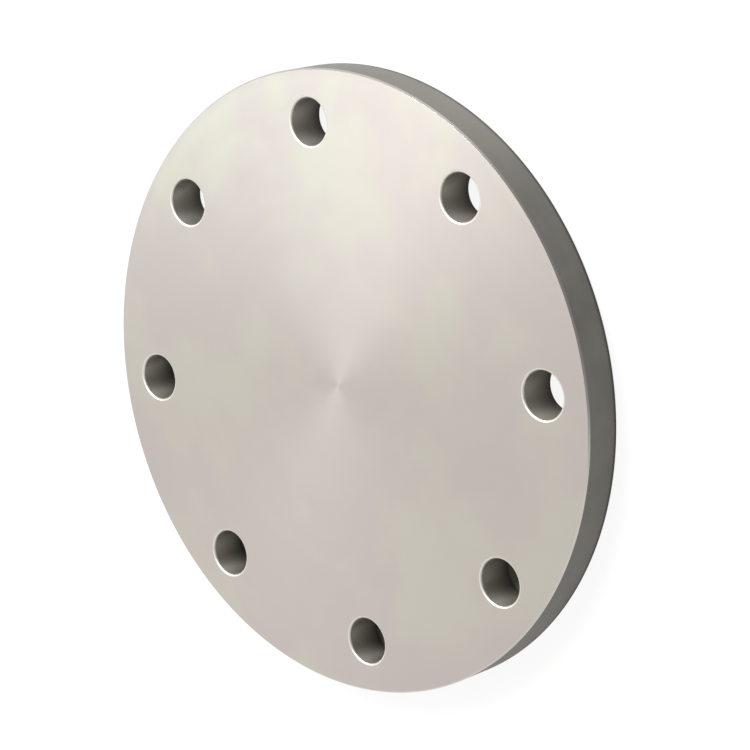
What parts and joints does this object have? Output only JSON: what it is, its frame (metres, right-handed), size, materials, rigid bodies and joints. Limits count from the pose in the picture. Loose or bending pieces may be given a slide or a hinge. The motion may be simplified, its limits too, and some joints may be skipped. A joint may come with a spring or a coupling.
{
  "type": "blind flange",
  "caption": "Flat round steel plate that closes the end of a flanged pipe, with plain bolt holes through it round the rim and a turned sealing face.",
  "frame": {"origin": "centre of the outer face, which the flange lies on", "axes": "+Z along the flange's axis, out of the sealing face; the bolt holes straddle the X and Y centre lines"},
  "size_m": [0.24, 0.24, 0.016],
  "materials": {
    "turned_steel": "face-turned bare steel, fine concentric tool marks, satin"
  },
  "bodies": {
    "root": {"blind_flange": "turned_steel"}
  },
  "joints": []
}
